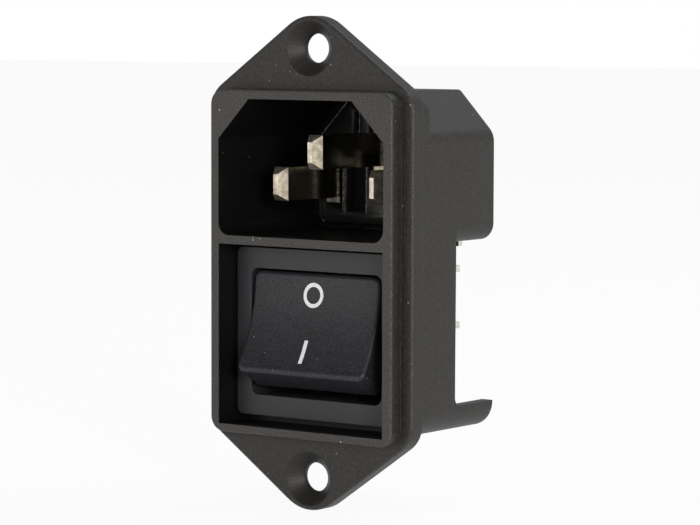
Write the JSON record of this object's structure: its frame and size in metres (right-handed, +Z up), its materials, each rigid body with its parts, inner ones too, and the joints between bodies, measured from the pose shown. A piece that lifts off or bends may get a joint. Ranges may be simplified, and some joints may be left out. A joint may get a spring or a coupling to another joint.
{
  "type": "appliance inlet with switch",
  "caption": "Panel-mount appliance inlet with flat blades in a deep socket and a rocker power switch below, on a rhombic flange with countersunk screw holes.",
  "frame": {"origin": "midway between the two screw holes, on the rear face of the flange, which lies against the panel", "axes": "X to the right, Y into the panel, Z up with the socket above the switch"},
  "size_m": [0.0296, 0.0262, 0.0574],
  "materials": {
    "moulding": "dark warm grey moulded thermoplastic, fine grain",
    "insulator": "near-black moulded insulator",
    "blade": "nickel-plated brass blade",
    "tab": "tin-plated brass strip",
    "switch_moulding": "dark grey moulded thermoplastic",
    "rocker": "smooth dark blue-grey plastic",
    "plunger": "natural low-friction plastic",
    "spring": "drawn steel wire",
    "contact": "silver contact"
  },
  "bodies": {
    "inlet": {"housing": "moulding", "pin_carrier": "insulator", "line_pin": "blade", "neutral_pin": "blade", "earth_pin": "blade", "line_tab": "tab", "neutral_tab": "tab", "earth_tab": "tab", "switch_frame": "switch_moulding", "left_common_terminal": "tab", "right_common_terminal": "tab", "left_fixed_terminal": "tab", "right_fixed_terminal": "tab", "left_fixed_contact": "contact", "right_fixed_contact": "contact"},
    "rocker": {"rocker": "rocker", "left_spring": "spring", "right_spring": "spring"},
    "left_plunger": {"left_plunger": "plunger"},
    "right_plunger": {"right_plunger": "plunger"},
    "left_contact": {"left_contact_arm": "tab", "left_moving_contact": "contact"},
    "right_contact": {"right_contact_arm": "tab", "right_moving_contact": "contact"}
  },
  "joints": [
    {"name": "rocker_hinge", "type": "hinge", "parent": "inlet", "child": "rocker", "pos_m": [0, 0.0023, -0.0084], "axis": [1, 0, 0], "range_deg": [0, 34.4]},
    {"name": "left_plunger_slide", "type": "slide", "parent": "rocker", "child": "left_plunger", "axis": [0, 0.9553, -0.2957], "range_m": [0, 0.00036], "stiffness_N_per_m": 500, "springref_m": 0.00036},
    {"name": "right_plunger_slide", "type": "slide", "parent": "rocker", "child": "right_plunger", "axis": [0, 0.9553, -0.2957], "range_m": [0, 0.00036], "stiffness_N_per_m": 500, "springref_m": 0.00036},
    {"name": "left_contact_rock", "type": "hinge", "parent": "inlet", "child": "left_contact", "pos_m": [-0.005, 0.0076, -0.0084], "axis": [1, 0, 0], "range_deg": [-16, 0]},
    {"name": "right_contact_rock", "type": "hinge", "parent": "inlet", "child": "right_contact", "pos_m": [0.005, 0.0076, -0.0084], "axis": [1, 0, 0], "range_deg": [-16, 0]}
  ],
  "couplings": [
    {"joint": "left_contact_rock", "follows": "rocker_hinge", "ratio": -0.465},
    {"joint": "right_contact_rock", "follows": "rocker_hinge", "ratio": -0.465}
  ]
}
